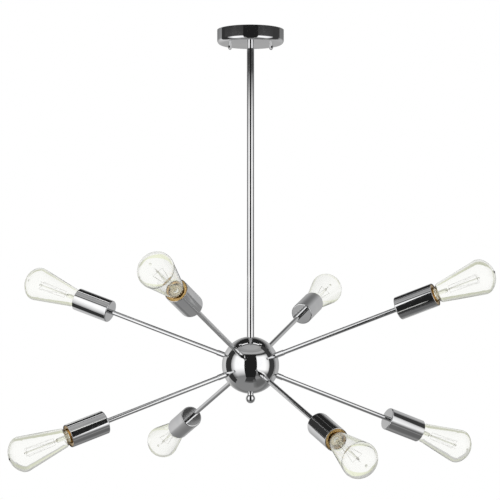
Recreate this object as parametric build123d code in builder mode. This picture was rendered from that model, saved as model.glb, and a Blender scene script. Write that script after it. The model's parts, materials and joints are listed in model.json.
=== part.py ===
from build123d import *
import os
from math import acos, asin, atan2, cos, degrees, hypot, radians, sin, sqrt

# Ceiling chandelier: a drum canopy, a plain stem, a ball hub and eight straight arms that lean
# up and down by turns, each with a cylinder cup, a screw lampholder and a clear lamp.
# Millimetres. The origin is the middle of the canopy's rim on the ceiling, +Z is up.

# Canopy, a spun steel drum that is open towards the ceiling
canopy_diameter = 120
canopy_height = 26
canopy_wall = 1
canopy_corner = 7

# Swivel crossbar inside the canopy: two flat straps on a hollow rivet
strap_width = 20
strap_thickness = 2
strap_margin = 3
strap_play = 0.1
strap_wall_gap = 4.2
box_slot_spacing = 80
box_slot_width = 4.6
rivet_radius = 6.5
rivet_bore_radius = 5
rivet_head_radius = 8
rivet_flange_radius = 9
rivet_flange_thickness = 1.2
rivet_fit = 0.05
ground_screw_offset = 24
ground_screw_radius = 1.9
ground_screw_head_flats = 7
ground_screw_head_height = 2.4

# Canopy studs and the cap nuts that hold the canopy up
stud_spacing = 74
stud_radius = 2.1
stud_head_radius = 3.6
stud_head_height = 1.7
cap_nut_radius = 3.5
cap_nut_height = 10
cap_nut_roof = 3

# Stem, and the hollow tie rod that clamps canopy, stem and hub together
stem_diameter = 13
stem_wall = 0.8
rod_diameter = 10
rod_bore = 6.5
rod_stand = 5.5
rod_window_height = 10
rod_window_width = 4
locknut_flats = 14
locknut_height = 4
locknut_flange_radius = 13
locknut_flange_thickness = 1.5

# Hub, a ball of two spun shells that meet at the equator
hub_drop = 603
hub_diameter = 102
hub_wall = 1.5
hub_lip_height = 3
hub_lip_thickness = 1
rod_end_gap = 1
finial_neck_radius = 5.5
finial_ball_radius = 8.4
finial_ball_drop = 8.6
finial_spigot_length = 16

# Terminal block on the tie rod, where the arm leads meet the supply leads
block_radius = 14
block_height = 24
block_round = 1
block_lead_start = 9.5

# Arms, straight tubes with a collar at the hub and a turned-down thread at each end
arm_count = 8
arm_first_azimuth = -22.5
arm_tilt = 19.6
arm_diameter = 8.5
arm_bore = 5
arm_reach = 292
collar_diameter = 10
collar_length = 16.5
spigot_diameter = 7
hub_spigot_length = 11
cup_spigot_length = 14
arm_nut_flats = 11
arm_nut_height = 4

# Cups, plain cylinders with a rounded back edge
cup_diameter = 41
cup_length = 71
cup_wall = 1
cup_back_corner = 2
cup_rim_round = 0.4

# Lampholders, a moulded body with a brass screw shell and a centre contact
holder_cup_gap = 2
holder_setback = 1.8
holder_well_gap = 2.1
holder_floor_height = 19
holder_boss_radius = 8
holder_boss_height = 16
shell_wall = 0.65
shell_lip_thickness = 0.6
shell_lip_gap = 0.6
shell_floor_gap = 2
contact_radius = 4
contact_thickness = 1.2

# Lamps: a screw cap of the common household size under a large tapered clear envelope
cap_radius = 12.95
cap_wall = 0.5
cap_length = 27.5
cap_stand = 2
cap_skirt = 22
cap_button_radius = 4.8
cap_button_height = 1.6
bulb_diameter = 62
bulb_reach = 111
glass_wall = 0.7
neck_sink = 3
neck_run = 0.5
flare_bend = 3
flare_turn = 62
waist_round = 7
shoulder_radius = 17
shoulder_setback = 24
pip_radius = 2.2
pip_sink = 0.8
stem_flare_radius = 6
stem_flare_length = 14
glass_stem_radius = 4
glass_stem_length = 24
glass_rod_radius = 1.5
glass_rod_length = 60

# Filament, a cage of straight strands between two wire spiders on the glass rod
strand_pairs = 4
strand_size = 0.6
low_spider_radius = 6
high_spider_radius = 10
spider_collar_wall = 0.6
spider_collar_height = 2
low_spider_rise = 4
high_spider_rise = 56
lead_wire_offset = 2.6

# Leads inside the tubes and their connectors in the canopy
arm_lead_radius = 1.8
supply_lead_radius = 1.1
supply_lead_offset = 1.4
supply_lead_bend = 5
supply_lead_level = -10.5
wire_nut_start = 20
wire_nut_length = 19
wire_nut_mouth_radius = 5
wire_nut_tip_radius = 3.2
wire_nut_wing = 2.2
wire_nut_wing_thickness = 1.6

# Clearances
thread_clearance = 0.05
hole_clearance = 0.2
lead_clearance = 0.3
cap_clearance = 0.3
neck_clearance = 0.3

# Levels and radii that several pieces share
canopy_floor = -canopy_height + canopy_wall
swivel_strap_top = -strap_thickness - strap_play
swivel_strap_bottom = swivel_strap_top - strap_thickness
stud_offset = stud_spacing / 2
stem_radius = stem_diameter / 2
rod_radius = rod_diameter / 2
rod_bore_radius = rod_bore / 2
rod_hole_radius = rod_radius + hole_clearance
rod_top = canopy_floor + locknut_flange_thickness + locknut_height + rod_stand
hub_radius = hub_diameter / 2
hub_inner_radius = hub_radius - hub_wall
arm_radius = arm_diameter / 2
collar_radius = collar_diameter / 2
spigot_radius = spigot_diameter / 2
spigot_hole_radius = spigot_radius + hole_clearance
cup_radius = cup_diameter / 2
cup_inner_radius = cup_radius - cup_wall
cup_mouth = arm_reach + cup_length
bulb_radius = bulb_diameter / 2


def ball_height(ball_radius, across):
    """Height on a ball above its centre plane where the ball has a given half width."""
    return sqrt(ball_radius**2 - across**2)


stem_seat_rise = ball_height(hub_radius, stem_radius + hole_clearance)
finial_seat_drop = ball_height(hub_radius, finial_neck_radius + hole_clearance)
arm_seat = ball_height(hub_radius, collar_radius + hole_clearance)
rod_bottom_drop = hub_inner_radius - rod_end_gap
hub_centre = Vector(0, 0, -hub_drop)
hub_plane = Plane.XY.offset(-hub_drop)
hub_section = Plane(origin=hub_centre, x_dir=(1, 0, 0), z_dir=(0, -1, 0))


def arm_plane(arm):
    """Plane through the hub's centre and square to an arm, with its normal out along the arm."""
    azimuth = radians(arm_first_azimuth + arm * 360 / arm_count)
    tilt = radians(arm_tilt if arm % 2 == 0 else -arm_tilt)
    along = (cos(tilt) * cos(azimuth), cos(tilt) * sin(azimuth), sin(tilt))
    across = (-sin(azimuth), cos(azimuth), 0)
    return Plane(origin=hub_centre, x_dir=across, z_dir=along)


arm_planes = [arm_plane(arm) for arm in range(arm_count)]
raised_planes = arm_planes[0::2]
lowered_planes = arm_planes[1::2]


def turned_section(points, plane=Plane.XZ):
    """Closed half section of a turned piece, from (radius, height) corners."""
    with BuildSketch(plane) as section:
        with BuildLine():
            Polyline(*points, close=True)
        make_face()
    return section.sketch


def save(piece, name):
    """Label a finished piece and write it to the parts folder."""
    piece.label = name
    export_step(piece, f"parts/{name}.step")


def save_for_each_arm(master, name):
    """Place a copy of a piece, made along +Z from the hub's centre, on every arm."""
    for arm, plane in enumerate(arm_planes, start=1):
        with BuildPart() as placed:
            with Locations(plane):
                add(master.part)
        save(placed.part, f"{name}_{arm}")


def save_as_group(master, name):
    """Place one copy of a piece on every arm and write them as one group."""
    with BuildPart() as group:
        with Locations(*arm_planes):
            add(master.part)
    save(group.part, name)


os.makedirs("parts", exist_ok=True)

# Ceiling strap: slotted for the screws of the ceiling box, countersunk for the rivet
ceiling_strap_length = canopy_diameter - 2 * (canopy_wall + strap_wall_gap)
box_slot_travel = ceiling_strap_length - box_slot_spacing - box_slot_width - 2 * strap_margin
with BuildPart() as ceiling_strap:
    with BuildSketch():
        RectangleRounded(strap_width, ceiling_strap_length, strap_margin)
        with GridLocations(0, box_slot_spacing, 1, 2):
            SlotCenterToCenter(box_slot_travel, box_slot_width, rotation=90, mode=Mode.SUBTRACT)
    extrude(amount=-strap_thickness)
    CounterSinkHole(rivet_radius + rivet_fit, rivet_head_radius + rivet_fit)
save(ceiling_strap.part, "ceiling_strap")

# Swivel strap: turns on the rivet and carries the two studs and the ground screw
swivel_strap_length = stud_spacing + 2 * (stud_head_radius + strap_margin)
with BuildPart() as swivel_strap:
    with BuildSketch(Plane.XY.offset(swivel_strap_top)):
        RectangleRounded(swivel_strap_length, strap_width, strap_margin)
        Circle(rivet_radius + rivet_fit, mode=Mode.SUBTRACT)
        with GridLocations(stud_spacing, 0, 2, 1):
            Circle(stud_radius + thread_clearance, mode=Mode.SUBTRACT)
        with Locations((ground_screw_offset, 0)):
            Circle(ground_screw_radius + thread_clearance, mode=Mode.SUBTRACT)
    extrude(amount=-strap_thickness)
save(swivel_strap.part, "swivel_strap")

# Strap rivet: hollow, flush above, with a rolled flange below that the swivel strap hangs on
rivet_head_depth = rivet_head_radius - rivet_radius
rivet_foot = swivel_strap_bottom - rivet_flange_thickness
with BuildPart() as strap_rivet:
    revolve(
        turned_section(
            [
                (rivet_bore_radius, 0),
                (rivet_head_radius, 0),
                (rivet_radius, -rivet_head_depth),
                (rivet_radius, swivel_strap_bottom),
                (rivet_flange_radius, swivel_strap_bottom),
                (rivet_flange_radius, rivet_foot),
                (rivet_bore_radius, rivet_foot),
            ]
        ),
        axis=Axis.Z,
    )
    flange_edge = strap_rivet.edges().group_by(Axis.Z)[0].sort_by(SortBy.RADIUS)[-1]
    fillet(flange_edge, rivet_flange_thickness / 2)
save(strap_rivet.part, "strap_rivet")

# Ground screw: driven up into the swivel strap from below
with BuildPart() as ground_screw:
    with BuildSketch(Plane.XY.offset(swivel_strap_bottom)):
        with Locations((ground_screw_offset, 0)):
            RegularPolygon(ground_screw_head_flats / 2, 6, major_radius=False)
    extrude(amount=-ground_screw_head_height)
    with BuildSketch(Plane.XY.offset(swivel_strap_bottom)):
        with Locations((ground_screw_offset, 0)):
            Circle(ground_screw_radius)
    extrude(amount=strap_thickness)
save(ground_screw.part, "ground_screw")

# Canopy studs: screws that hang head-up in the swivel strap and reach through the canopy
cap_nut_thread = cap_nut_height - cap_nut_roof
stud_tip = -canopy_height - cap_nut_thread + lead_clearance
with BuildPart() as canopy_studs:
    with BuildSketch(Plane.XY.offset(swivel_strap_top)):
        with GridLocations(stud_spacing, 0, 2, 1):
            Circle(stud_head_radius)
    extrude(amount=stud_head_height)
    fillet(canopy_studs.edges().group_by(Axis.Z)[-1], stud_head_height / 2)
    with BuildSketch(Plane.XY.offset(swivel_strap_top)):
        with GridLocations(stud_spacing, 0, 2, 1):
            Circle(stud_radius)
    extrude(amount=stud_tip - swivel_strap_top)
save(canopy_studs.part, "canopy_studs")

# Cap nuts: blind domed nuts that clamp the canopy up against the ceiling
with BuildPart() as cap_nut:
    with BuildSketch(Plane.XZ):
        with BuildLine():
            side = Line((cap_nut_radius, 0), (cap_nut_radius, cap_nut_radius - cap_nut_height))
            dome = CenterArc((0, cap_nut_radius - cap_nut_height), cap_nut_radius, 0, -90)
            Polyline(dome @ 1, (0, 0), side @ 0)
        make_face()
    revolve(axis=Axis.Z)
    with BuildSketch():
        Circle(stud_radius + thread_clearance)
    extrude(amount=-cap_nut_thread, mode=Mode.SUBTRACT)
with BuildPart() as cap_nuts:
    with Locations((-stud_offset, 0, -canopy_height), (stud_offset, 0, -canopy_height)):
        add(cap_nut.part)
save(cap_nuts.part, "cap_nuts")

# Canopy: drum with a rounded lower corner, a centre hole and two stud holes
with BuildPart() as canopy:
    with BuildSketch():
        Circle(canopy_diameter / 2)
    extrude(amount=-canopy_height)
    fillet(canopy.edges().sort_by(Axis.Z)[0], canopy_corner)
    offset(amount=-canopy_wall, openings=canopy.faces().sort_by(Axis.Z)[-1])
    with BuildSketch(Plane.XY.offset(-canopy_height)):
        Circle(rod_hole_radius)
        with GridLocations(stud_spacing, 0, 2, 1):
            Circle(stud_radius + hole_clearance)
    extrude(amount=canopy_wall, mode=Mode.SUBTRACT)
save(canopy.part, "canopy")

# Canopy locknut: flanged hexagon nut that holds the tie rod up on the canopy floor
with BuildPart() as canopy_locknut:
    with BuildSketch(Plane.XY.offset(canopy_floor)):
        Circle(locknut_flange_radius)
    extrude(amount=locknut_flange_thickness)
    flange_edge = canopy_locknut.edges().sort_by(Axis.Z)[-1]
    chamfer(flange_edge, locknut_flange_thickness / 3)
    with BuildSketch(Plane.XY.offset(canopy_floor + locknut_flange_thickness)):
        RegularPolygon(locknut_flats / 2, 6, major_radius=False)
    extrude(amount=locknut_height)
    with BuildSketch(Plane.XY.offset(canopy_floor)):
        Circle(rod_radius + thread_clearance)
    extrude(amount=locknut_flange_thickness + locknut_height, mode=Mode.SUBTRACT)
save(canopy_locknut.part, "canopy_locknut")

# Stem: plain tube between the canopy's underside and the flat on the hub's crown
stem_foot = -hub_drop + stem_seat_rise
with BuildPart() as stem:
    with BuildSketch(Plane.XY.offset(stem_foot)):
        Circle(stem_radius)
        Circle(stem_radius - stem_wall, mode=Mode.SUBTRACT)
    extrude(amount=-canopy_height - stem_foot)
save(stem.part, "stem")

# Tie rod: threaded tube from the canopy nut to the finial, with a lead window on each side
rod_foot = -hub_drop - rod_bottom_drop
with BuildPart() as tie_rod:
    with BuildSketch(Plane.XY.offset(rod_foot)):
        Circle(rod_radius)
        Circle(rod_bore_radius, mode=Mode.SUBTRACT)
    extrude(amount=rod_top - rod_foot)
    with BuildSketch(Plane.YZ.offset(-rod_radius)):
        with Locations((0, -hub_drop + rod_window_height / 4)):
            SlotOverall(rod_window_height, rod_window_width, rotation=90)
    extrude(amount=rod_diameter, mode=Mode.SUBTRACT)
save(tie_rod.part, "tie_rod")


def drill_arm_seats(planes):
    """Drill the spigot holes of some arms and face a flat seat for each arm's collar."""
    for plane in planes:
        with BuildSketch(plane.offset(arm_seat)) as seat:
            Circle(collar_radius + hole_clearance)
        extrude(seat.sketch, amount=hub_radius - arm_seat, mode=Mode.SUBTRACT)
        with BuildSketch(plane.offset(hub_inner_radius - hub_wall)) as spigot_hole:
            Circle(spigot_hole_radius)
        extrude(spigot_hole.sketch, amount=2 * hub_wall, mode=Mode.SUBTRACT)


def hub_half(crown_side, seat_height, hole_radius):
    """Half section of a hub shell, from the equator to its flat seat round a centre hole."""
    seat_angle = degrees(asin(seat_height / hub_radius))
    hole_angle = degrees(asin(ball_height(hub_inner_radius, hole_radius) / hub_inner_radius))
    with BuildSketch(hub_section) as section:
        with BuildLine():
            outside = CenterArc((0, 0), hub_radius, 0, crown_side * seat_angle)
            inside = CenterArc((0, 0), hub_inner_radius, 0, crown_side * hole_angle)
            Line(outside @ 0, inside @ 0)
            Polyline(outside @ 1, (hole_radius, crown_side * seat_height), inside @ 1)
        make_face()
    return section.sketch


# Hub upper shell: takes the raised arms and the foot of the stem
hub_axis = Axis(hub_centre, (0, 0, 1))
with BuildPart() as hub_upper_shell:
    revolve(hub_half(1, stem_seat_rise, rod_hole_radius), axis=hub_axis)
    drill_arm_seats(raised_planes)
save(hub_upper_shell.part, "hub_upper_shell")

# Hub lower shell: takes the lowered arms and the finial, with a lip that centres the upper shell
lip_radius = ball_height(hub_inner_radius, hub_lip_height) - hole_clearance
lip_inner_radius = lip_radius - hub_lip_thickness
lip_root_radius = hub_inner_radius + hub_wall / 2
finial_hole_radius = rod_bore_radius + hole_clearance
with BuildPart() as hub_lower_shell:
    revolve(hub_half(-1, finial_seat_drop, finial_hole_radius), axis=hub_axis)
    revolve(
        turned_section(
            [
                (lip_inner_radius, -hub_lip_height),
                (lip_root_radius, -hub_lip_height),
                (lip_root_radius, 0),
                (lip_radius, 0),
                (lip_radius, hub_lip_height),
                (lip_inner_radius, hub_lip_height),
            ],
            hub_section,
        ),
        axis=hub_axis,
    )
    drill_arm_seats(lowered_planes)
save(hub_lower_shell.part, "hub_lower_shell")

# Finial: ball knob whose spigot screws into the tie rod and closes the hub
finial_spigot_radius = rod_bore_radius - thread_clearance
finial_centre_drop = hub_radius + finial_ball_drop
finial_join = degrees(asin(ball_height(finial_ball_radius, finial_neck_radius) / finial_ball_radius))
with BuildPart() as finial:
    with BuildSketch(hub_section):
        with BuildLine():
            knob = CenterArc((0, -finial_centre_drop), finial_ball_radius, -90, 90 + finial_join)
            Polyline(
                knob @ 1,
                (finial_neck_radius, -finial_seat_drop),
                (finial_spigot_radius, -finial_seat_drop),
                (finial_spigot_radius, finial_spigot_length - finial_seat_drop),
                (0, finial_spigot_length - finial_seat_drop),
                knob @ 0,
            )
        make_face()
    revolve(axis=hub_axis)
save(finial.part, "finial")

# Terminal block: a moulded ring round the tie rod with a socket for every lead
with BuildPart() as terminal_block:
    with BuildSketch(hub_plane.offset(-block_height / 2)):
        Circle(block_radius)
        Circle(rod_hole_radius, mode=Mode.SUBTRACT)
    extrude(amount=block_height)
    block_rims = terminal_block.edges().filter_by(GeomType.CIRCLE).group_by(SortBy.RADIUS)[-1]
    fillet(block_rims, block_round)
    for plane in arm_planes:
        with BuildSketch(plane.offset(block_lead_start)):
            Circle(arm_lead_radius + hole_clearance)
        extrude(amount=block_radius, mode=Mode.SUBTRACT)
    with BuildSketch(Plane.YZ.offset(-block_lead_start)):
        with Locations((0, -hub_drop)):
            Circle(supply_lead_radius + hole_clearance)
    extrude(amount=2 * block_lead_start, mode=Mode.SUBTRACT)
save(terminal_block.part, "terminal_block")

# Arm: straight tube with a collar that sits on the hub, turned down at both ends for its locknuts
arm_inner_end = arm_seat - hub_spigot_length
arm_outer_end = arm_reach + cup_spigot_length
collar_end = arm_seat + collar_length
with BuildPart() as arm:
    revolve(
        turned_section(
            [
                (arm_bore / 2, arm_inner_end),
                (spigot_radius, arm_inner_end),
                (spigot_radius, arm_seat),
                (collar_radius, arm_seat),
                (collar_radius, collar_end),
                (arm_radius, collar_end),
                (arm_radius, arm_reach),
                (spigot_radius, arm_reach),
                (spigot_radius, arm_outer_end),
                (arm_bore / 2, arm_outer_end),
            ]
        ),
        axis=Axis.Z,
    )
save_for_each_arm(arm, "arm")

# Arm locknuts: one inside the hub and one inside the cup on every arm
arm_nut_corner = arm_nut_flats / sqrt(3)
hub_nut_face = ball_height(hub_inner_radius, arm_nut_corner) - thread_clearance
with BuildPart() as arm_nut_pair:
    for nut_plane in (Plane.XY.offset(hub_nut_face - arm_nut_height), Plane.XY.offset(arm_reach + cup_wall)):
        with BuildSketch(nut_plane):
            RegularPolygon(arm_nut_flats / 2, 6, major_radius=False)
            Circle(spigot_radius + thread_clearance, mode=Mode.SUBTRACT)
        extrude(amount=arm_nut_height)
save_as_group(arm_nut_pair, "arm_locknuts")

# Cup: deep drawn cylinder with a flat back, clamped between the arm's shoulder and its nut
with BuildPart() as cup:
    with BuildSketch(Plane.XY.offset(arm_reach)):
        Circle(cup_radius)
    extrude(amount=cup_length)
    fillet(cup.edges().sort_by(Axis.Z)[0], cup_back_corner)
    offset(amount=-cup_wall, openings=cup.faces().sort_by(Axis.Z)[-1])
    with BuildSketch(Plane.XY.offset(arm_reach)):
        Circle(spigot_hole_radius)
    extrude(amount=cup_wall, mode=Mode.SUBTRACT)
    fillet(cup.edges().group_by(Axis.Z)[-1], cup_rim_round)
save_for_each_arm(cup, "socket_cup")

# Lampholder body: screwed on the arm's end, with a well for the screw shell
cap_end = cup_mouth + cap_stand
shell_inner_radius = cap_radius + cap_clearance
shell_radius = shell_inner_radius + shell_wall
shell_lip_radius = cup_inner_radius - shell_lip_gap
holder_radius = cup_inner_radius - holder_cup_gap
holder_rim = cup_mouth - holder_setback
holder_well_radius = shell_radius + holder_well_gap
contact_top = cap_end - cap_length - lead_clearance
holder_floor = contact_top - contact_thickness
holder_base = holder_floor - holder_floor_height
holder_boss = holder_base - holder_boss_height
holder_lead_radius = arm_lead_radius + hole_clearance
lead_end = arm_outer_end + holder_floor_height / 2
with BuildPart() as holder:
    revolve(
        turned_section(
            [
                (spigot_radius + thread_clearance, holder_boss),
                (holder_boss_radius, holder_boss),
                (holder_boss_radius, holder_base),
                (holder_radius, holder_base),
                (holder_radius, holder_rim),
                (holder_well_radius, holder_rim),
                (holder_well_radius, holder_floor),
                (0, holder_floor),
                (0, lead_end),
                (holder_lead_radius, lead_end),
                (holder_lead_radius, arm_outer_end),
                (spigot_radius + thread_clearance, arm_outer_end),
            ]
        ),
        axis=Axis.Z,
    )
    back_edges = holder.edges().filter_by(GeomType.CIRCLE).group_by(SortBy.RADIUS)[-1]
    chamfer(back_edges.sort_by(Axis.Z)[0], cup_back_corner)
save_as_group(holder, "lampholder_bodies")

# Screw shell: brass sleeve with a wide lip that lies on the lampholder's rim and fills the cup's mouth
with BuildPart() as screw_shell:
    revolve(
        turned_section(
            [
                (shell_inner_radius, holder_floor + shell_floor_gap),
                (shell_radius, holder_floor + shell_floor_gap),
                (shell_radius, holder_rim),
                (shell_lip_radius, holder_rim),
                (shell_lip_radius, holder_rim + shell_lip_thickness),
                (shell_inner_radius, holder_rim + shell_lip_thickness),
            ]
        ),
        axis=Axis.Z,
    )
save_as_group(screw_shell, "lampholder_screw_shells")

# Centre contact: brass button on the floor of the well
with BuildPart() as contact:
    with BuildSketch(Plane.XY.offset(holder_floor)):
        Circle(contact_radius)
    extrude(amount=contact_thickness)
    fillet(contact.edges().sort_by(Axis.Z)[-1], contact_thickness / 2)
save_as_group(contact, "lampholder_contacts")

# Lamp cap: drawn brass screw cap with its centre button, open towards the glass
cap_tip = cap_end - cap_length
cap_skirt_end = cap_end - cap_skirt
with BuildPart() as lamp_cap:
    revolve(
        turned_section(
            [
                (0, cap_tip),
                (cap_button_radius, cap_tip),
                (cap_button_radius, cap_tip + cap_button_height),
                (cap_radius, cap_skirt_end),
                (cap_radius, cap_end),
                (cap_radius - cap_wall, cap_end),
                (cap_radius - cap_wall, cap_skirt_end),
                (0, cap_skirt_end),
            ]
        ),
        axis=Axis.Z,
    )
    fillet(lamp_cap.edges().sort_by(Axis.Z)[0], cap_button_height / 2)
save_for_each_arm(lamp_cap, "bulb_cap")

# Lamp glass: a short neck that flares over the cap, a long taper, a round shoulder and a crown with a pip
neck_radius = cap_radius - cap_wall - neck_clearance
neck_start = cap_end - neck_sink
neck_end = cap_end + neck_run
bulb_tip = cup_mouth + bulb_reach
shoulder_height = bulb_tip - shoulder_setback


def envelope_section(inset):
    """Half section of the envelope, moved inwards from the outer skin by an inset."""
    neck = neck_radius - inset
    flare = flare_bend + inset
    waist = waist_round - inset
    shoulder = shoulder_radius - inset
    tip = bulb_tip - inset
    turn = radians(flare_turn)
    flare_centre = (neck_radius + flare_bend, neck_end)
    waist_centre = (
        flare_centre[0] - (flare_bend + waist_round) * cos(turn),
        neck_end + (flare_bend + waist_round) * sin(turn),
    )
    shoulder_centre = (bulb_radius - shoulder_radius, shoulder_height)
    run = shoulder_centre[0] - waist_centre[0]
    rise = shoulder_centre[1] - waist_centre[1]
    taper = degrees(acos((waist_round - shoulder_radius) / hypot(run, rise)) - atan2(rise, run))
    depth = tip - shoulder_height
    crown = (depth**2 + shoulder_centre[0] ** 2 - shoulder**2) / (2 * (depth - shoulder))
    crown_start = degrees(atan2(shoulder_height - (tip - crown), shoulder_centre[0]))
    with BuildSketch(Plane.XZ) as section:
        with BuildLine():
            neck_line = Line((neck, neck_start), (neck, neck_end))
            CenterArc(flare_centre, flare, 180, -flare_turn)
            waist_arc = CenterArc(waist_centre, waist, -flare_turn, flare_turn - taper)
            shoulder_arc = CenterArc(shoulder_centre, shoulder, -taper, crown_start + taper)
            Line(waist_arc @ 1, shoulder_arc @ 0)
            crown_arc = CenterArc((0, tip - crown), crown, crown_start, 90 - crown_start)
            Polyline(crown_arc @ 1, (0, neck_start), neck_line @ 0)
        make_face()
    return section.sketch


seal_radius = neck_radius - glass_wall / 2
stem_top = neck_start + glass_stem_length
rod_tip = stem_top + glass_rod_length
with BuildPart() as lamp_glass:
    revolve(envelope_section(0), axis=Axis.Z)
    revolve(envelope_section(glass_wall), axis=Axis.Z, mode=Mode.SUBTRACT)
    with Locations((0, 0, bulb_tip - pip_sink)):
        Sphere(pip_radius)
    revolve(
        turned_section(
            [
                (0, neck_start),
                (seal_radius, neck_start),
                (seal_radius, neck_start + glass_wall),
                (stem_flare_radius, neck_start + stem_flare_length / 2),
                (glass_stem_radius, neck_start + stem_flare_length),
                (glass_stem_radius, stem_top),
                (glass_rod_radius, stem_top),
                (glass_rod_radius, rod_tip),
                (0, rod_tip),
            ]
        ),
        axis=Axis.Z,
    )
save_for_each_arm(lamp_glass, "bulb_glass")

# Lamp filament: two wire spiders on the glass rod, the strands between them and the two lead wires
low_level = stem_top + low_spider_rise
high_level = stem_top + high_spider_rise
collar_bore = glass_rod_radius + hole_clearance
strand_step = 360 / strand_pairs


def spider_tip(radius, height, turn):
    """Point on a spider's rim at a turn about the lamp's axis."""
    return Vector(radius * cos(radians(turn)), radius * sin(radians(turn)), height)


def wire(start, end):
    """Straight square wire between two points."""
    run = end - start
    with BuildSketch(Plane(origin=start, z_dir=run)) as section:
        Rectangle(strand_size, strand_size)
    extrude(section.sketch, amount=run.length)


with BuildPart() as lamp_filament:
    for level in (low_level, high_level):
        with BuildSketch(Plane.XY.offset(level - spider_collar_height / 2)):
            Circle(collar_bore + spider_collar_wall)
            Circle(collar_bore, mode=Mode.SUBTRACT)
        extrude(amount=spider_collar_height)
    for pair in range(strand_pairs):
        turn = pair * strand_step
        low_tip = spider_tip(low_spider_radius, low_level, turn)
        high_tip = spider_tip(high_spider_radius, high_level, turn + strand_step / 2)
        next_tip = spider_tip(low_spider_radius, low_level, turn + strand_step)
        wire(spider_tip(collar_bore + spider_collar_wall / 2, low_level, turn), low_tip)
        wire(spider_tip(collar_bore + spider_collar_wall / 2, high_level, turn + strand_step / 2), high_tip)
        wire(low_tip, high_tip)
        wire(high_tip, next_tip)
    for side_turn in (0, 180):
        wire(
            spider_tip(lead_wire_offset, stem_top, side_turn),
            spider_tip(lead_wire_offset, low_level, side_turn),
        )
save_for_each_arm(lamp_filament, "bulb_filament")

# Leads: one straight pair in every arm, and two supply leads up the tie rod into the canopy
with BuildPart() as leads:
    for plane in arm_planes:
        with BuildSketch(plane.offset(block_lead_start + lead_clearance)):
            Circle(arm_lead_radius)
        extrude(amount=lead_end - block_lead_start - 2 * lead_clearance)
    for way in (-1, 1):
        lead_x = way * supply_lead_offset
        with BuildLine() as route:
            FilletPolyline(
                (way * (block_lead_start - lead_clearance), 0, -hub_drop),
                (lead_x, 0, -hub_drop),
                (lead_x, 0, supply_lead_level),
                (lead_x, way * (wire_nut_start + wire_nut_length / 2), supply_lead_level),
                radius=supply_lead_bend,
            )
        with BuildSketch(Plane(origin=route.line @ 0, z_dir=route.line % 0)):
            Circle(supply_lead_radius)
        sweep(path=route.line)
save(leads.part, "leads")

# Wire nuts: tapered twist-on caps on the supply leads, with two finger wings
with BuildPart() as wire_nut:
    revolve(
        turned_section(
            [
                (supply_lead_radius + lead_clearance, 0),
                (wire_nut_mouth_radius, 0),
                (wire_nut_tip_radius, wire_nut_length),
                (0, wire_nut_length),
                (0, wire_nut_length / 2 + lead_clearance),
                (supply_lead_radius + lead_clearance, wire_nut_length / 2 + lead_clearance),
            ]
        ),
        axis=Axis.Z,
    )
    fillet(wire_nut.edges().sort_by(Axis.Z)[-1], wire_nut_tip_radius / 3)
    with BuildSketch(Plane.XY):
        Rectangle(2 * (wire_nut_mouth_radius + wire_nut_wing), wire_nut_wing_thickness)
        Circle(wire_nut_tip_radius, mode=Mode.SUBTRACT)
    extrude(amount=wire_nut_length / 2)
with BuildPart() as wire_nuts:
    for way in (-1, 1):
        nut_origin = (way * supply_lead_offset, way * wire_nut_start, supply_lead_level)
        with Locations(Plane(origin=nut_origin, x_dir=(1, 0, 0), z_dir=(0, way, 0))):
            add(wire_nut.part)
save(wire_nuts.part, "wire_nuts")
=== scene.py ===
import json
from math import acos, asin, atan2, cos, degrees, hypot, pi, radians, sin, sqrt

import bmesh
import bpy
from mathutils import Matrix, Vector


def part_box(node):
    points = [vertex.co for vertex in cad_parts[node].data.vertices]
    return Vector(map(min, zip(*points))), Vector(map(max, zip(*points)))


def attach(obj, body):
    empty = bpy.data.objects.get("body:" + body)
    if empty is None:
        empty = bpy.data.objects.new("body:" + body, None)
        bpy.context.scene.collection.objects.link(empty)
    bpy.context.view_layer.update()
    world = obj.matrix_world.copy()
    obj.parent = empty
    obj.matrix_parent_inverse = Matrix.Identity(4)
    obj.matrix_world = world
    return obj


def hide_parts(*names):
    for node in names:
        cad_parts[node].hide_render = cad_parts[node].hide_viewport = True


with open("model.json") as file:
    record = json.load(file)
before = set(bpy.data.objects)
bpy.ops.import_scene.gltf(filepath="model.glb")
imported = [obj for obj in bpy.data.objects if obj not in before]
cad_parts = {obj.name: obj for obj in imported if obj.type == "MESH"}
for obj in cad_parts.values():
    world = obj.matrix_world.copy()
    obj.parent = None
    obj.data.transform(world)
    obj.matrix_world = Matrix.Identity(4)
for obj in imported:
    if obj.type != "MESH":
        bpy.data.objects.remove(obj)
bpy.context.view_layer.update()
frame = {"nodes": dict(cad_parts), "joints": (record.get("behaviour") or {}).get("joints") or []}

mm = 0.001

# Swivel crossbar: two pressed steel straps on a hollow rivet, screwed to the ceiling box.
# Bright zinc plate with a faint bluish and straw mottle, and rolling marks along the steel.


def new_finish(name, constants):
    """Material with the given constants on its shader's own sockets."""
    finish = bpy.data.materials.new(name)
    finish.use_nodes = True
    shader = finish.node_tree.nodes["Principled BSDF"]
    for socket, value in constants.items():
        shader.inputs[socket].default_value = value
    return finish


def add_node(tree, kind, inputs=None, **settings):
    """Node with its settings made and its inputs set or linked."""
    node = tree.nodes.new(kind)
    for setting, value in settings.items():
        setattr(node, setting, value)
    for socket, value in (inputs or {}).items():
        if isinstance(value, bpy.types.NodeSocket):
            tree.links.new(value, node.inputs[socket])
        else:
            node.inputs[socket].default_value = value
    return node


def grain(finish, size, stretch=(1, 1, 1), detail=3.0):
    """Noise of a feature size in metres on the piece's own coordinates."""
    tree = finish.node_tree
    place = add_node(tree, "ShaderNodeTexCoord").outputs["Object"]
    mapped = add_node(tree, "ShaderNodeMapping", {"Vector": place, "Scale": stretch}).outputs["Vector"]
    settings = {"Vector": mapped, "Scale": 1 / size, "Detail": detail}
    return add_node(tree, "ShaderNodeTexNoise", settings).outputs["Fac"]


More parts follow.
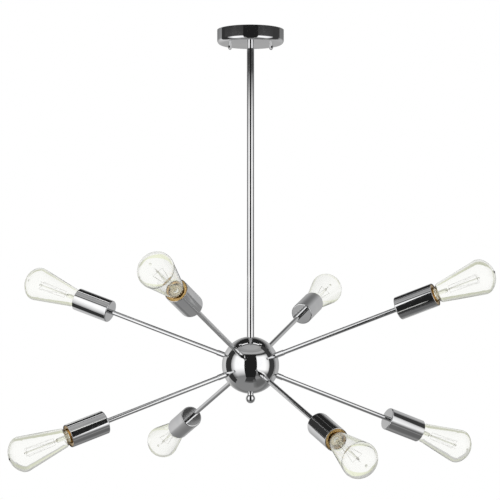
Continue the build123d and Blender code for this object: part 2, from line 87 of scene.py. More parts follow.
def lead_to(finish, output, socket):
    """Link an output to one of the shader's own sockets."""
    tree = finish.node_tree
    tree.links.new(output, tree.nodes["Principled BSDF"].inputs[socket])


def vary(finish, pattern, socket, low, high):
    """Let a pattern move one of the shader's values between two ends."""
    # Noise seldom leaves the range from 0.3 to 0.7.
    spread = {"Value": pattern, "From Min": 0.3, "From Max": 0.7, "To Min": low, "To Max": high}
    lead_to(finish, add_node(finish.node_tree, "ShaderNodeMapRange", spread).outputs["Result"], socket)


def tint(finish, pattern, *stops):
    """Colour the surface by a pattern, from two stops of (place, colour)."""
    ramp = add_node(finish.node_tree, "ShaderNodeValToRGB", {"Fac": pattern})
    for element, (place, colour) in zip(ramp.color_ramp.elements, stops):
        element.position = place
        element.color = (*colour, 1)
    lead_to(finish, ramp.outputs["Color"], "Base Color")


def relief(finish, pattern, depth):
    """Raise the surface by a pattern, to a depth in metres."""
    bump = add_node(finish.node_tree, "ShaderNodeBump", {"Height": pattern, "Distance": depth})
    lead_to(finish, bump.outputs["Normal"], "Normal")


def dress(finish, *nodes):
    """Give CAD nodes that keep their own shape a finish."""
    for node in nodes:
        for material_slot in frame["nodes"][node].material_slots:
            material_slot.material = finish


zinc = new_finish("zinc_plate", {"Metallic": 0.7})
zinc_mottle = grain(zinc, 6 * mm)
tint(zinc, zinc_mottle, (0.35, (0.62, 0.65, 0.69)), (0.65, (0.74, 0.72, 0.66)))
zinc_rolling = grain(zinc, 0.8 * mm, stretch=(0.08, 1, 1))
vary(zinc, zinc_rolling, "Roughness", 0.30, 0.42)
relief(zinc, zinc_rolling, 0.005 * mm)
dress(zinc, "ceiling_strap", "swivel_strap", "strap_rivet")

# Canopy studs: two machine screws that hang head up in the swivel strap, with rolled threads.
# Ground screw: a hexagon screw in the same strap, lacquered green. Both are plated steel.


def arc(centre, radius, start, end, steps):
    """Points of an arc in a half section, with angles in degrees from the outward direction."""
    turns = [radians(start + (end - start) * step / steps) for step in range(steps + 1)]
    return [(centre[0] + radius * cos(turn), centre[1] + radius * sin(turn)) for turn in turns]


def held(outline, hold):
    """Outline with a point near both ends of each long straight run, so flats shade flat."""
    points = [outline[0]]
    for (r0, z0), (r1, z1) in zip(outline, outline[1:]):
        run = hypot(r1 - r0, z1 - z0)
        if run > 6 * hold:
            for share in (hold / run, 1 - hold / run):
                points.append((r0 + (r1 - r0) * share, z0 + (z1 - z0) * share))
        points.append((r1, z1))
    return points


def turned(name, *outlines, facets=64, hold=0.25 * mm, crease=32):
    """Mesh turned about Z from outlines of (radius, height) that keep their material on the left."""
    shape = bmesh.new()
    for outline in outlines:
        points = held(outline, hold)
        rings = []
        for radius, height in points:
            around = [2 * pi * facet / facets for facet in range(facets)]
            if radius < 1e-9:
                rings.append([shape.verts.new((0, 0, height))] * facets)
            else:
                rings.append([shape.verts.new((radius * cos(a), radius * sin(a), height)) for a in around])
        if points[0] == points[-1]:
            for spare in rings.pop():
                shape.verts.remove(spare)
            rings.append(rings[0])
        for first, second in zip(rings, rings[1:]):
            for facet in range(facets):
                corners = (first[facet - 1], first[facet], second[facet], second[facet - 1])
                shape.faces.new(list(dict.fromkeys(corners)))
    for face in shape.faces:
        face.smooth = True
    mesh = bpy.data.meshes.new(name)
    shape.to_mesh(mesh)
    shape.free()
    mesh.set_sharp_from_angle(angle=radians(crease))
    return mesh


def levels(radius, start, end, step):
    """Closely spaced points up a straight wall, for a thread to be rolled into."""
    count = max(1, round(abs(end - start) / step))
    return [(radius, start + (end - start) * level / count) for level in range(count + 1)]


def joined(name, *placed):
    """One mesh of copies, each given as a mesh and its place."""
    shape = bmesh.new()
    for mesh, place in placed:
        moved = mesh.copy()
        moved.transform(place)
        shape.from_mesh(moved)
        bpy.data.meshes.remove(moved)
    whole = bpy.data.meshes.new(name)
    shape.to_mesh(whole)
    shape.free()
    return whole


def maths(tree, operation, *operands):
    """Result of one maths node."""
    return add_node(tree, "ShaderNodeMath", dict(enumerate(operands)), operation=operation).outputs[0]


def vectors(tree, operation, inputs):
    """Outputs of one vector maths node."""
    return add_node(tree, "ShaderNodeVectorMath", inputs, operation=operation).outputs


def new_tree(name, **inputs):
    """Geometry node tree with named inputs, and its input node."""
    tree = bpy.data.node_groups.new(name, "GeometryNodeTree")
    tree.interface.new_socket("Geometry", in_out="OUTPUT", socket_type="NodeSocketGeometry")
    tree.interface.new_socket("Geometry", in_out="INPUT", socket_type="NodeSocketGeometry")
    for label, kind in inputs.items():
        tree.interface.new_socket(label, in_out="INPUT", socket_type="NodeSocket" + kind)
    return tree, tree.nodes.new("NodeGroupInput").outputs


def close_tree(tree, geometry, finish):
    """End a tree with its instances made real and its material set."""
    whole = add_node(tree, "GeometryNodeRealizeInstances", {"Geometry": geometry})
    finished = add_node(tree, "GeometryNodeSetMaterial", {"Geometry": whole.outputs[0], "Material": finish})
    add_node(tree, "NodeGroupOutput", {"Geometry": finished.outputs[0]})


def grown(name, mesh, tree, **values):
    """Plain mesh that a tree makes from a mesh and its named inputs."""
    holder = bpy.data.objects.new(name, mesh)
    bpy.context.scene.collection.objects.link(holder)
    modifier = holder.modifiers.new(tree.name, "NODES")
    modifier.node_group = tree
    for socket in tree.interface.items_tree:
        if socket.in_out == "INPUT" and socket.name in values:
            modifier[socket.identifier] = values[socket.name]
    view = bpy.context.evaluated_depsgraph_get()
    result = bpy.data.meshes.new_from_object(holder.evaluated_get(view), depsgraph=view)
    bpy.data.objects.remove(holder)
    result.name = name
    return result


def fit(name, mesh, finish, body, slot, *nodes):
    """Show a finished mesh on a body, in place of the CAD nodes that it stands for."""
    mesh.materials.clear()
    mesh.materials.append(finish)
    piece = bpy.data.objects.new(name, mesh)
    bpy.context.scene.collection.objects.link(piece)
    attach(piece, body)
    if nodes:
        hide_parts(*nodes)
    return piece


groove_tree, given = new_tree(
    "rolled_grooves",
    Pitch="Float", Starts="Float", Depth="Float", Start="Float", End="Float", Run="Float", Core="Float",
    Finish="Material",
)
position = add_node(groove_tree, "GeometryNodeInputPosition").outputs[0]
spot = add_node(groove_tree, "ShaderNodeSeparateXYZ", {0: position}).outputs
flat_spot = add_node(groove_tree, "ShaderNodeCombineXYZ", {"X": spot["X"], "Y": spot["Y"]}).outputs[0]
reach = vectors(groove_tree, "LENGTH", {0: flat_spot})["Value"]
outward = vectors(groove_tree, "NORMALIZE", {0: flat_spot})["Vector"]
climb = maths(groove_tree, "MULTIPLY", maths(groove_tree, "DIVIDE", spot["Z"], given["Pitch"]), 2 * pi)
around_axis = maths(groove_tree, "ARCTAN2", spot["Y"], spot["X"])
lag = maths(groove_tree, "MULTIPLY", around_axis, given["Starts"])
wave = maths(groove_tree, "COSINE", maths(groove_tree, "SUBTRACT", climb, lag))
groove = maths(groove_tree, "MULTIPLY_ADD", wave, -0.5, 0.5)
run_in_end = maths(groove_tree, "ADD", given["Start"], given["Run"])
run_out_end = maths(groove_tree, "SUBTRACT", given["End"], given["Run"])
run_in_range = {"Value": spot["Z"], "From Min": given["Start"], "From Max": run_in_end}
run_out_range = {"Value": spot["Z"], "From Min": given["End"], "From Max": run_out_end}
run_in = add_node(groove_tree, "ShaderNodeMapRange", run_in_range).outputs[0]
run_out = add_node(groove_tree, "ShaderNodeMapRange", run_out_range).outputs[0]
grooved = maths(groove_tree, "MULTIPLY", run_in, run_out)
outside = maths(groove_tree, "GREATER_THAN", reach, given["Core"])
cut = maths(groove_tree, "MULTIPLY", maths(groove_tree, "MULTIPLY", grooved, outside), groove)
inward = maths(groove_tree, "MULTIPLY", cut, maths(groove_tree, "MULTIPLY", given["Depth"], -1.0))
push = vectors(groove_tree, "SCALE", {0: outward, "Scale": inward})["Vector"]
pressed = add_node(groove_tree, "GeometryNodeSetPosition", {"Geometry": given["Geometry"], "Offset": push})
close_tree(groove_tree, pressed.outputs[0], given["Finish"])


def rolled(blank, finish, pitch, depth, start, end, core=0.0):
    """Turned mesh with a single thread rolled into what lies outside its core."""
    return grown(
        blank.name, blank, groove_tree,
        Pitch=pitch, Starts=1.0, Depth=depth, Start=start, End=end, Run=pitch, Core=core, Finish=finish,
    )


stud_low, stud_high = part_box("canopy_studs")
stud_head_radius = 3.6 * mm
stud_head = 1.7 * mm
stud_head_edge = 0.3 * mm
stud_dome = 8 * mm
stud_dome_edge = stud_head_radius * 0.92
stud_radius = 2.1 * mm
stud_core = 1.9 * mm
stud_chamfer = 0.4 * mm
stud_pitch = 0.8 * mm
stud_thread_depth = 0.35 * mm
stud_offset = stud_high.x - stud_head_radius
stud_neck = stud_high.z - stud_head
stud_thread_end = stud_neck - 1 * mm
stud_shank = levels(stud_radius, stud_low.z + stud_chamfer, stud_neck, stud_pitch / 6)
stud_crown_start = 90 - degrees(asin(stud_dome_edge / stud_dome))
stud_crown = arc((0, stud_high.z - stud_dome), stud_dome, stud_crown_start, 90, 6)
stud_outline = [(0, stud_low.z), (stud_radius - stud_chamfer, stud_low.z), *stud_shank]
stud_outline += [(stud_head_radius, stud_neck), (stud_head_radius, stud_crown[0][1] - stud_head_edge)]
stud_outline += [*stud_crown[:-1], (0, stud_high.z)]
stud_blank = turned("canopy_stud", stud_outline, facets=32)
stud = rolled(stud_blank, zinc, stud_pitch, stud_thread_depth, stud_low.z, stud_thread_end, stud_core)
stud_places = [Matrix.Translation((side * stud_offset, 0, 0)) for side in (-1, 1)]
studs = joined("canopy_studs", *[(stud, place) for place in stud_places])
fit("threaded_studs", studs, zinc, "fixture", "zinc_steel", "canopy_studs")

lacquer = new_finish("ground_lacquer", {"Coat Weight": 0.4, "Coat Roughness": 0.1})
lacquer_wear = grain(lacquer, 1.2 * mm)
tint(lacquer, lacquer_wear, (0.3, (0.02, 0.16, 0.05)), (0.7, (0.03, 0.27, 0.09)))
vary(lacquer, lacquer_wear, "Roughness", 0.25, 0.45)
dress(lacquer, "ground_screw")

# Cap nuts: two blind domed nuts under the canopy, turned from brass, polished and chromed.
# The same bright chrome covers every outside piece of the fixture.
chrome = new_finish("chrome_plate", {"Metallic": 1.0})
chrome_haze = grain(chrome, 35 * mm, detail=2.0)
tint(chrome, chrome_haze, (0.35, (0.76, 0.765, 0.775)), (0.65, (0.82, 0.82, 0.82)))
vary(chrome, grain(chrome, 9 * mm, detail=5.0), "Roughness", 0.03, 0.075)
relief(chrome, grain(chrome, 14 * mm, detail=1.0), 0.004 * mm)

nut_low, nut_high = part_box("cap_nuts")
nut_radius = nut_high.x - stud_offset
nut_dome = nut_low.z + nut_radius
nut_outline = [(0, nut_low.z)] + arc((0, nut_dome), nut_radius, -90, 0, 12)[1:]
nut_outline += [(nut_radius, nut_high.z), (stud_radius, nut_high.z)]
cap_nut = turned("cap_nut", nut_outline, facets=48)
nuts = joined("cap_nuts", *[(cap_nut, place) for place in stud_places])
fit("domed_nuts", nuts, chrome, "fixture", "chrome", "cap_nuts")

# Canopy: a drum spun from sheet steel and chromed, open towards the ceiling.
# It hangs on the studs and carries everything below it on the tie rod.
canopy_low, canopy_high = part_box("canopy")
canopy_radius = canopy_high.x
canopy_wall = 1 * mm
canopy_corner = 7 * mm
rod_hole_radius = 5.2 * mm
canopy_bend = (canopy_radius - canopy_corner, canopy_low.z + canopy_corner)
canopy_outline = [(rod_hole_radius, canopy_low.z)]
canopy_outline += arc(canopy_bend, canopy_corner, -90, 0, 16)
canopy_outline += [(canopy_radius, canopy_high.z), (canopy_radius - canopy_wall, canopy_high.z)]
canopy_outline += arc(canopy_bend, canopy_corner - canopy_wall, 0, -90, 16)
canopy_outline += [(rod_hole_radius, canopy_low.z + canopy_wall), canopy_outline[0]]
fit("canopy_drum", turned("canopy", canopy_outline, facets=160), chrome, "fixture", "chrome", "canopy")

# Stem: one plain chromed tube from the canopy to the crown of the hub.
# Tie rod: a threaded steel tube inside it, held in the canopy by a flanged nut.


def tube(inner, outer, start, end):
    """Outline of a plain tube."""
    return [(inner, start), (outer, start), (outer, end), (inner, end), (inner, start)]


stem_low, stem_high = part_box("stem")
stem_radius = stem_high.x
stem_wall = 0.8 * mm
stem_outline = tube(stem_radius - stem_wall, stem_radius, stem_low.z, stem_high.z)
fit("stem_tube", turned("stem", stem_outline, facets=96), chrome, "fixture", "chrome", "stem")

rod_low, rod_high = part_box("tie_rod")
rod_radius = rod_high.x
rod_bore = 3.25 * mm
rod_core = rod_bore + 1 * mm
rod_chamfer = 0.5 * mm
rod_pitch = 1 * mm
rod_thread_depth = 0.45 * mm
rod_thread_start = rod_high.z - 14 * mm
rod_outline = [(rod_bore, rod_low.z), (rod_radius, rod_low.z)]
rod_outline += levels(rod_radius, rod_thread_start, rod_high.z - rod_chamfer, rod_pitch / 8)
rod_outline += [(rod_radius - rod_chamfer, rod_high.z), (rod_bore, rod_high.z), rod_outline[0]]
rod_blank = turned("tie_rod", rod_outline, facets=48)
tie_rod = rolled(rod_blank, zinc, rod_pitch, rod_thread_depth, rod_thread_start, rod_high.z, rod_core)
fit("threaded_tie_rod", tie_rod, zinc, "fixture", "zinc_steel", "tie_rod")
dress(zinc, "canopy_locknut")

# Hub: a ball of two spun and chromed shells that meet at the equator.
# Each arm, the stem and the finial stand square on it. A terminal block sits inside.


def true_ball(mesh, centre, radius):
    """Give the outer skin of a ball the exact normals of a ball, so no facet or seam shows."""
    skin = []
    for face in mesh.polygons:
        corners = [mesh.vertices[v].co - centre for v in face.vertices]
        on_skin = all(abs(corner.length - radius) < 0.01 * mm for corner in corners)
        skin += [corner.normalized() if on_skin else Vector() for corner in corners]
    mesh.normals_split_custom_set(skin)


upper_low, upper_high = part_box("hub_upper_shell")
lower_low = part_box("hub_lower_shell")[0]
hub_centre = Vector((0, 0, upper_low.z))
hub_radius = upper_high.x
hub_wall = 1.5 * mm
hub_rings = 40
finial_hole_radius = 3.5 * mm


def hub_shell(name, side, seat_height, hole):
    """Half ball from the equator to its flat seat, above (1) or below (-1) the centre."""
    seat_angle = degrees(asin(seat_height / hub_radius))
    inner_radius = hub_radius - hub_wall
    inner_angle = degrees(acos(hole / inner_radius))
    centre = (0, hub_centre.z)
    outline = arc(centre, hub_radius, 0, side * seat_angle, hub_rings)
    outline += [(hole, hub_centre.z + side * seat_height)]
    outline += arc(centre, inner_radius, side * inner_angle, 0, hub_rings)
    outline += [outline[0]]
    mesh = turned(name, outline[::side], facets=192)
    true_ball(mesh, hub_centre, hub_radius)
    return mesh


upper_mesh = hub_shell("hub_upper_shell", 1, upper_high.z - hub_centre.z, rod_hole_radius)
fit("ball_upper_half", upper_mesh, chrome, "fixture", "chrome", "hub_upper_shell")
lower_mesh = hub_shell("hub_lower_shell", -1, hub_centre.z - lower_low.z, finial_hole_radius)
fit("ball_lower_half", lower_mesh, chrome, "fixture", "chrome", "hub_lower_shell")

phenolic = new_finish("black_phenolic", {"Specular IOR Level": 0.45})
phenolic_flow = grain(phenolic, 3 * mm, detail=6.0)
tint(phenolic, phenolic_flow, (0.3, (0.012, 0.011, 0.010)), (0.7, (0.032, 0.028, 0.026)))
vary(phenolic, phenolic_flow, "Roughness", 0.32, 0.5)
relief(phenolic, grain(phenolic, 0.5 * mm), 0.01 * mm)
dress(phenolic, "terminal_block")

# Finial: a small chromed ball knob on a short neck, screwed up into the tie rod.
# It closes the hub from below.
finial_low, finial_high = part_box("finial")
finial_radius = finial_high.x
finial_neck = 5.5 * mm
finial_centre = finial_low.z + finial_radius
finial_seat = lower_low.z
finial_spigot = 3.2 * mm
finial_join = degrees(acos(finial_neck / finial_radius))
finial_outline = arc((0, finial_centre), finial_radius, -90, finial_join, 32)
finial_outline[0] = (0, finial_low.z)
finial_outline += [(finial_neck, finial_seat), (finial_spigot, finial_seat)]
finial_outline += [(finial_spigot, finial_high.z), (0, finial_high.z)]
fit("finial_knob", turned("finial", finial_outline, facets=96), chrome, "fixture", "chrome", "finial")

# Arms: eight straight chromed tubes with a collar at the root, seated on the hub at even turns.
# They lean up and down in turn. Each end is turned down for a locknut, in the hub and in the cup.
lamp_axes = {joint["child"]: Vector(joint["axis"]) for joint in frame["joints"] if joint["type"] == "slide"}
arm_count = len(lamp_axes)
first_axis = lamp_axes["bulb_1"]
first_azimuth = atan2(first_axis.y, first_axis.x)
arm_tilt = asin(first_axis.z)

round_tree, given = new_tree(
    "placed_round_hub",
    Piece="Object", Arms="Int", First="Int", Placed="Int",
    Azimuth="Float", Tilt="Float", Height="Float", Finish="Material",
)
hub_spot = add_node(round_tree, "ShaderNodeCombineXYZ", {"Z": given["Height"]}).outputs[0]
seats = add_node(round_tree, "GeometryNodePoints", {"Count": given["Placed"], "Position": hub_spot})
index = add_node(round_tree, "GeometryNodeInputIndex").outputs[0]
arm_number = maths(round_tree, "ADD", index, given["First"])
arm_step = maths(round_tree, "DIVIDE", 2 * pi, given["Arms"])
azimuth = maths(round_tree, "MULTIPLY_ADD", arm_number, arm_step, given["Azimuth"])
up_or_down = maths(round_tree, "MULTIPLY_ADD", maths(round_tree, "MODULO", arm_number, 2.0), -2.0, 1.0)
lean = maths(round_tree, "SUBTRACT", pi / 2, maths(round_tree, "MULTIPLY", up_or_down, given["Tilt"]))
turning = add_node(round_tree, "ShaderNodeCombineXYZ", {"Y": lean, "Z": azimuth}).outputs[0]
piece_info = add_node(round_tree, "GeometryNodeObjectInfo", {"Object": given["Piece"], "As Instance": True})
placed = add_node(
    round_tree,
    "GeometryNodeInstanceOnPoints",
    {"Points": seats.outputs[0], "Instance": piece_info.outputs["Geometry"], "Rotation": turning},
)
close_tree(round_tree, placed.outputs[0], given["Finish"])


def round_hub(name, master, finish, first=0, count=arm_count):
    """Copies of a piece, made along Z from the hub's centre, on some of the arms."""
    pattern = bpy.data.objects.new(name + "_pattern", master)
    bpy.context.scene.collection.objects.link(pattern)
    result = grown(
        name, bpy.data.meshes.new(name), round_tree,
        Piece=pattern, Arms=arm_count, First=first, Placed=count,
        Azimuth=first_azimuth, Tilt=arm_tilt, Height=hub_centre.z, Finish=finish,
    )
    bpy.data.objects.remove(pattern)
    return result


def numbered(name):
    """Names of a node that every arm has one of."""
    return [f"{name}_{arm}" for arm in range(1, arm_count + 1)]


arm_radius = 4.25 * mm
arm_bore = 2.5 * mm
arm_spigot = 3.5 * mm
collar_radius = 5 * mm
collar_bevel = 0.4 * mm
seat_radius = collar_radius + 0.2 * mm
arm_seat = sqrt(hub_radius**2 - seat_radius**2)
collar_end = arm_seat + 16.5 * mm
arm_reach = 292 * mm
arm_inner_end = arm_seat - 11 * mm
arm_outer_end = arm_reach + 14 * mm
arm_outline = [
    (arm_bore, arm_inner_end),
    (arm_spigot, arm_inner_end),
    (arm_spigot, arm_seat),
    (collar_radius, arm_seat),
    (collar_radius, collar_end - collar_bevel),
    (collar_radius - collar_bevel, collar_end),
    (arm_radius, collar_end),
    (arm_radius, arm_reach),
    (arm_spigot, arm_reach),
    (arm_spigot, arm_outer_end),
    (arm_bore, arm_outer_end),
    (arm_bore, arm_inner_end),
]
arms = round_hub("arms", turned("arm", arm_outline, facets=64), chrome)
fit("arm_tubes", arms, chrome, "fixture", "chrome", *numbered("arm"))
dress(zinc, "arm_locknuts")

# Cups: deep drawn chromed cylinders with a flat back, each clamped on the end of its arm.
# The back edge is a small round and the rim is rolled smooth.
cup_radius = 20.5 * mm
cup_wall = 1 * mm
cup_corner = 2 * mm
cup_mouth = arm_reach + 71 * mm
cup_rim = cup_wall / 2
cup_hole = arm_spigot + 0.2 * mm
cup_bend = (cup_radius - cup_corner, arm_reach + cup_corner)
cup_outline = [(cup_hole, arm_reach)]
cup_outline += arc(cup_bend, cup_corner, -90, 0, 10)
cup_outline += arc((cup_radius - cup_rim, cup_mouth - cup_rim), cup_rim, 0, 180, 8)
cup_outline += arc(cup_bend, cup_corner - cup_wall, 0, -90, 6)
cup_outline += [(cup_hole, arm_reach + cup_wall), cup_outline[0]]
cups = round_hub("socket_cups", turned("cup", cup_outline, facets=128), chrome)
fit("drawn_cups", cups, chrome, "fixture", "chrome", *numbered("socket_cup"))

# Lampholders: black moulded bodies screwed on the arm ends inside the cups.
# Each holds a brass screw shell with a lip over the body's rim, and a brass contact on its floor.
cap_end = cup_mouth + 2 * mm
cap_tip = cap_end - 27.5 * mm
holder_rim = cup_mouth - 1.8 * mm
holder_floor = cap_tip - 1.5 * mm
holder_base = holder_floor - 19 * mm
holder_boss = holder_base - 16 * mm
holder_boss_radius = 8 * mm
holder_radius = 17.5 * mm
holder_well = 16 * mm
holder_chamfer = 2 * mm
holder_outline = [
    (arm_spigot, holder_boss),
    (holder_boss_radius, holder_boss),
    (holder_boss_radius, holder_base),
    (holder_radius - holder_chamfer, holder_base),
    (holder_radius, holder_base + holder_chamfer),
    (holder_radius, holder_rim),
    (holder_well, holder_rim),
    (holder_well, holder_floor),
    (0, holder_floor),
]
holders = round_hub("lampholder_bodies", turned("holder", holder_outline, facets=64), phenolic)
fit("moulded_holders", holders, phenolic, "fixture", "moulded_black", "lampholder_bodies")

brass = new_finish("socket_brass", {"Metallic": 1.0})
brass_tarnish = grain(brass, 5 * mm, detail=4.0)
tint(brass, brass_tarnish, (0.3, (0.45, 0.29, 0.11)), (0.7, (0.70, 0.49, 0.22)))
vary(brass, brass_tarnish, "Roughness", 0.18, 0.36)
dress(brass, "lampholder_contacts")

lamp_pitch = 3.6 * mm
lamp_level = lamp_pitch / 10
shell_thread_depth = 0.5 * mm
shell_inner = 13.7 * mm
shell_outer = 14.1 * mm
shell_lip = 18.9 * mm
shell_bead = 0.5 * mm
shell_lip_top = holder_rim + 0.6 * mm
shell_start = holder_floor + 2 * mm
shell_end = holder_rim - 1 * mm
shell_outline = levels(shell_outer, shell_start, shell_end, lamp_level)
shell_outline += [(shell_outer, holder_rim), (shell_lip, holder_rim)]
shell_outline += arc((shell_lip - shell_bead, holder_rim + shell_bead), shell_bead, -60, 150, 8)
shell_outline += arc((shell_inner + shell_bead, shell_lip_top - shell_bead), shell_bead, 90, 180, 5)
shell_outline += levels(shell_inner, shell_end, shell_start, lamp_level) + [shell_outline[0]]
shell_blank = turned("screw_shell", shell_outline, facets=48)
screw_shell = rolled(shell_blank, brass, lamp_pitch, shell_thread_depth, shell_start, shell_end)
shells = round_hub("lampholder_screw_shells", screw_shell, brass)
fit("rolled_screw_shells", shells, brass, "fixture", "socket_brass", "lampholder_screw_shells")

# Leads and wire nuts: insulated wire down the tie rod and through the arms.
# The two supply leads end in the canopy in twist-on caps with moulded grip flutes and wings.
insulation = new_finish("lead_insulation", {"Coat Weight": 0.15})
insulation_marks = grain(insulation, 4 * mm, stretch=(1, 1, 0.2))
tint(insulation, insulation_marks, (0.3, (0.05, 0.05, 0.055)), (0.7, (0.09, 0.09, 0.095)))
vary(insulation, insulation_marks, "Roughness", 0.4, 0.6)
dress(insulation, "leads")

nut_plastic = new_finish("wire_nut_plastic", {"Subsurface Weight": 0.1})
nut_marks = grain(nut_plastic, 2 * mm)
tint(nut_plastic, nut_marks, (0.3, (0.55, 0.20, 0.02)), (0.7, (0.72, 0.29, 0.03)))
vary(nut_plastic, nut_marks, "Roughness", 0.35, 0.5)
relief(nut_plastic, grain(nut_plastic, 0.4 * mm), 0.01 * mm)

twist_low, twist_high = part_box("wire_nuts")
twist_level = (twist_low.z + twist_high.z) / 2
twist_length = 19 * mm
twist_mouth = 5 * mm
twist_tip = 3.2 * mm
twist_bore = 1.4 * mm
twist_edge = 0.4 * mm
twist_round = twist_tip / 3
twist_reach = 7.2 * mm
wing_thickness = 1.6 * mm
wing_round = 1.5 * mm
wing_bevel = 0.3 * mm
flute_count = 14.0
flute_depth = 0.55 * mm
flute_start = 2.5 * mm
flute_end = 16.5 * mm
flute_levels = 12
twist_outline = [(0, twist_length / 2), (twist_bore, twist_length / 2), (twist_bore, 0)]
twist_outline += [(twist_mouth - twist_edge, 0)]
for level in range(flute_levels + 1):
    height = twist_edge + (twist_length - twist_round - twist_edge) * level / flute_levels
    twist_outline.append((twist_mouth + (twist_tip - twist_mouth) * height / twist_length, height))
twist_outline += arc((twist_tip - twist_round, twist_length - twist_round), twist_round, 5, 90, 6)
twist_outline += [(0, twist_length)]
fluted_cap = grown(
    "fluted_cap", turned("fluted_cap", twist_outline, facets=112, crease=50), groove_tree,
    Pitch=1.0, Starts=flute_count, Depth=flute_depth, Start=flute_start, End=flute_end, Run=1.5 * mm,
    Core=twist_bore + 0.5 * mm, Finish=nut_plastic,
)
wing_edge = [(twist_bore, 0)]
wing_edge += arc((twist_reach - wing_round, wing_round), wing_round, -90, 0, 6)
wing_edge += arc((twist_reach - wing_round, twist_length / 2 - wing_round), wing_round, 0, 90, 6)
wing_edge += [(twist_bore, twist_length / 2)]
wing_shape = bmesh.new()
wing_face = wing_shape.faces.new([wing_shape.verts.new((x, wing_thickness / 2, z)) for x, z in wing_edge])
thickened = bmesh.ops.extrude_face_region(wing_shape, geom=[wing_face])
far_edge = [part for part in thickened["geom"] if isinstance(part, bmesh.types.BMVert)]
bmesh.ops.translate(wing_shape, verts=far_edge, vec=(0, -wing_thickness, 0))
bmesh.ops.recalc_face_normals(wing_shape, faces=wing_shape.faces)
bmesh.ops.bevel(wing_shape, geom=wing_shape.edges, offset=wing_bevel, segments=2, affect="EDGES")
wing = bpy.data.meshes.new("wing")
wing_shape.to_mesh(wing)
wing_shape.free()
here = Matrix.Identity(4)
half_turn = Matrix.Rotation(pi, 4, "Z")
twist_cap = joined("twist_cap", (fluted_cap, here), (wing, here), (wing, half_turn))
twist_places = []
for way in (-1, 1):
    mouth = Vector((way * (twist_high.x - twist_reach), way * (twist_high.y - twist_length), twist_level))
    aim = Matrix.Rotation(-way * pi / 2, 4, "X")
    twist_places.append(Matrix.Translation(mouth) @ aim)
twist_caps = joined("wire_nuts", *[(twist_cap, place) for place in twist_places])
fit("twist_on_caps", twist_caps, nut_plastic, "fixture", "wire_nut_plastic", "wire_nuts")

# Lamp caps: drawn brass screw caps with a rolled thread, filled with pale cement that holds the glass.
# A black glass insulator and a solder button close the tip. All of it rides on the lamp's own body.


def on_lamp(arm, label, master, finish, slot, *kinds):
    """Piece of one lamp on the lamp's own body, in place of its CAD nodes of the given kinds."""
    mesh = round_hub(f"{label}_{arm}", master, finish, arm - 1, 1)
    return fit(f"{label}_{arm}", mesh, finish, f"bulb_{arm}", slot, *[f"{kind}_{arm}" for kind in kinds])


lamp_brass = new_finish("lamp_brass", {"Metallic": 1.0})
lamp_brass_wear = grain(lamp_brass, 4 * mm, detail=4.0)
tint(lamp_brass, lamp_brass_wear, (0.3, (0.56, 0.38, 0.15)), (0.7, (0.78, 0.57, 0.27)))
vary(lamp_brass, lamp_brass_wear, "Roughness", 0.16, 0.32)

cap_radius = 12.95 * mm
cap_wall = 0.4 * mm
cap_edge = 0.2 * mm
cap_skirt = cap_end - 22 * mm
cap_inside = cap_radius - cap_wall
cap_thread_end = cap_end - 5 * mm
cap_thread_depth = 0.6 * mm
cap_button = 4.8 * mm
cap_button_round = 0.8 * mm
cap_button_top = cap_tip + 2 * cap_button_round
cap_outline = levels(cap_radius, cap_skirt, cap_thread_end, lamp_level)
cap_outline += [(cap_radius, cap_end - cap_edge), (cap_radius - cap_edge, cap_end), (cap_inside, cap_end)]
cap_outline += levels(cap_inside, cap_thread_end, cap_skirt, lamp_level) + [cap_outline[0]]
cap_blank = turned("lamp_cap", cap_outline, facets=64)
lamp_cap = rolled(cap_blank, lamp_brass, lamp_pitch, cap_thread_depth, cap_skirt, cap_thread_end)
insulator_outline = [
    (0, cap_button_top - 0.3 * mm),
    (cap_button + 0.6 * mm, cap_button_top),
    (cap_inside - 2 * mm, cap_skirt - 1.2 * mm),
    (cap_inside - 0.6 * mm, cap_skirt - 0.1 * mm),
    (cap_inside - 0.4 * mm, cap_skirt + 0.6 * mm),
    (0, cap_skirt + 0.6 * mm),
]
button_bend = (cap_button - cap_button_round, cap_tip + cap_button_round)
button_outline = [(0, cap_tip), *arc(button_bend, cap_button_round, -90, 90, 6), (0, cap_button_top)]
insulator = turned("lamp_insulator", insulator_outline, facets=48)
button = turned("lamp_button", button_outline, facets=32)
cement = new_finish("lamp_cement", {"Specular IOR Level": 0.2})
cement_pores = grain(cement, 0.6 * mm)
tint(cement, cement_pores, (0.3, (0.74, 0.65, 0.46)), (0.7, (0.82, 0.74, 0.56)))
vary(cement, cement_pores, "Roughness", 0.7, 0.9)
cement_gap = 0.1 * mm
cement_radius = cap_inside - 0.7 * mm
cement_foot = cap_skirt + 1 * mm
neck_radius = 12.15 * mm
neck_start = cap_end - 3 * mm
glass_wall = 2 * mm
cement_core = neck_radius - glass_wall - cement_gap
cement_bed = neck_start + 1.5 * mm
cement_outline = [
    (0, cement_foot),
    (cement_radius, cement_foot),
    (cement_radius, neck_start - cement_gap),
    (cement_core, neck_start - cement_gap),
    (cement_core, cement_bed),
    (0, cement_bed),
]
cement_fill = turned("lamp_cement", cement_outline, facets=48)
for arm in range(1, arm_count + 1):
    on_lamp(arm, "lamp_cement", cement_fill, cement, "lamp_brass")
    on_lamp(arm, "lamp_cap", lamp_cap, lamp_brass, "lamp_brass", "bulb_cap")
    on_lamp(arm, "lamp_insulator", insulator, phenolic, "moulded_black")
    on_lamp(arm, "lamp_button", button, zinc, "zinc_steel")

